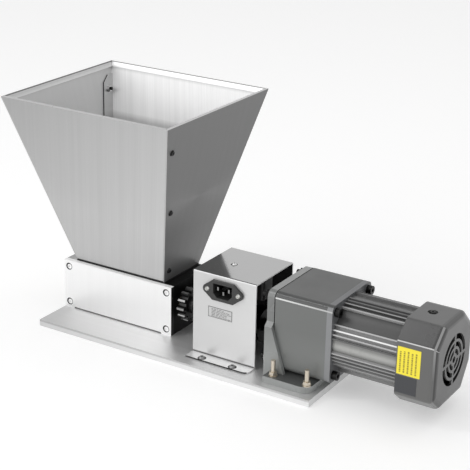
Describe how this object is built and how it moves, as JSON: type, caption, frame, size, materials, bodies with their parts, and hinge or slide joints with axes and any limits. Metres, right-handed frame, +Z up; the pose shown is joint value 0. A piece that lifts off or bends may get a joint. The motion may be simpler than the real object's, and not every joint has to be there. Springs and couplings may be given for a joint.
{
  "type": "electric grain mill",
  "caption": "Bench grain mill: flared sheet hopper over two geared rollers, driven through a covered coupling by a finned gear motor, all on one base plate.",
  "frame": {"origin": "centre of the base plate's flat underside, straight below the shaft axis", "axes": "+X along the shaft from the mill to the motor, +Y to the back, +Z up"},
  "size_m": [0.5291, 0.2061, 0.2779],
  "materials": {
    "base_aluminium": "brushed along the length",
    "brushed_aluminium": "brushed vertically",
    "dark_aluminium": "satin black",
    "zinc_steel": "zinc plated",
    "ground_steel": "ground",
    "gear_steel": "machined",
    "bronze": "sintered",
    "hopper_steel": "brushed up the slope",
    "polished_steel": "mirror polished",
    "inlet_plastic": "moulded",
    "pale_label": "printed film",
    "spider_rubber": "moulded",
    "bracket_grey": "painted casting",
    "gearbox_grey": "painted casting",
    "black_steel": "black oxide",
    "motor_grey": "satin paint",
    "copper_winding": "varnished copper",
    "fan_plastic": "moulded",
    "yellow_label": "printed film"
  },
  "bodies": {
    "frame": {"base_plate": "base_aluminium", "front_side_plate": "brushed_aluminium", "rear_side_plate": "brushed_aluminium", "left_end_plate": "dark_aluminium", "right_end_plate": "dark_aluminium", "side_plate_screws": "zinc_steel", "end_plate_bolts": "zinc_steel", "drive_roller_bushes": "bronze", "adjuster_lock_nuts": "zinc_steel", "hopper_front_panel": "hopper_steel", "hopper_rear_panel": "hopper_steel", "hopper_left_panel": "hopper_steel", "hopper_right_panel": "hopper_steel", "hopper_corner_screws": "zinc_steel", "hopper_corner_nuts": "zinc_steel", "hopper_seat_screws": "zinc_steel", "drive_cover": "polished_steel", "cover_screws": "zinc_steel", "power_inlet": "inlet_plastic", "inlet_pins": "bronze", "inlet_screws": "zinc_steel", "run_capacitor": "inlet_plastic", "capacitor_screw": "zinc_steel", "rating_plate": "pale_label", "mounting_bracket": "bracket_grey", "foot_bolts": "zinc_steel", "foot_nuts": "zinc_steel", "foot_washers": "zinc_steel", "gearbox_housing": "gearbox_grey", "output_bearings": "ground_steel", "countershaft_bushes": "bronze", "motor_front_plate": "gearbox_grey", "through_screws": "black_steel", "through_nuts": "zinc_steel", "motor_housing": "motor_grey", "stator_core": "gear_steel", "stator_windings": "copper_winding", "motor_bearings": "ground_steel", "rear_end_bell": "motor_grey", "fan_cover": "motor_grey", "fan_cover_screws": "zinc_steel", "motor_label": "yellow_label"},
    "rotor": {"rotor_shaft": "ground_steel", "rotor_core": "gear_steel", "cooling_fan": "fan_plastic"},
    "gear_stage": {"countershaft": "ground_steel", "countershaft_gear": "gear_steel"},
    "drive_line": {"output_gear": "gear_steel", "output_shaft": "ground_steel", "motor_coupling_hub": "ground_steel", "coupling_spider": "spider_rubber", "mill_coupling_hub": "ground_steel", "drive_gear": "gear_steel", "drive_roller": "ground_steel"},
    "gap_carriage": {"left_gap_block": "bronze", "right_gap_block": "bronze"},
    "idler": {"idler_roller": "ground_steel", "idler_gear": "gear_steel"},
    "left_adjuster": {"left_adjusting_screw": "zinc_steel"},
    "right_adjuster": {"right_adjusting_screw": "zinc_steel"}
  },
  "joints": [
    {"name": "rotor_spin", "type": "hinge", "parent": "frame", "child": "rotor", "pos_m": [0.2235, 0, 0.0625], "axis": [1, 0, 0], "continuous": true},
    {"name": "gear_stage_spin", "type": "hinge", "parent": "frame", "child": "gear_stage", "pos_m": [0.1565, 0.02121, 0.05638], "axis": [1, 0, 0], "continuous": true},
    {"name": "drive_spin", "type": "hinge", "parent": "frame", "child": "drive_line", "pos_m": [-0.10475, 0, 0.043], "axis": [1, 0, 0], "continuous": true},
    {"name": "gap_slide", "type": "slide", "parent": "frame", "child": "gap_carriage", "axis": [0, 1, 0], "range_m": [0, 0.0012]},
    {"name": "idler_spin", "type": "hinge", "parent": "gap_carriage", "child": "idler", "pos_m": [-0.10475, 0.0363, 0.043], "axis": [1, 0, 0], "continuous": true},
    {"name": "left_adjuster_turn", "type": "hinge", "parent": "gap_carriage", "child": "left_adjuster", "pos_m": [-0.175, 0.06, 0.043], "axis": [0, 1, 0], "range_deg": [-1, 433]},
    {"name": "right_adjuster_turn", "type": "hinge", "parent": "gap_carriage", "child": "right_adjuster", "pos_m": [-0.0345, 0.06, 0.043], "axis": [0, 1, 0], "range_deg": [-1, 433]}
  ],
  "couplings": [
    {"joint": "gear_stage_spin", "follows": "rotor_spin", "ratio": -0.29412},
    {"joint": "drive_spin", "follows": "rotor_spin", "ratio": 0.073529},
    {"joint": "idler_spin", "follows": "rotor_spin", "ratio": -0.073529},
    {"joint": "left_adjuster_turn", "follows": "gap_slide", "rad_per_m": 6283.2},
    {"joint": "right_adjuster_turn", "follows": "gap_slide", "rad_per_m": 6283.2}
  ]
}
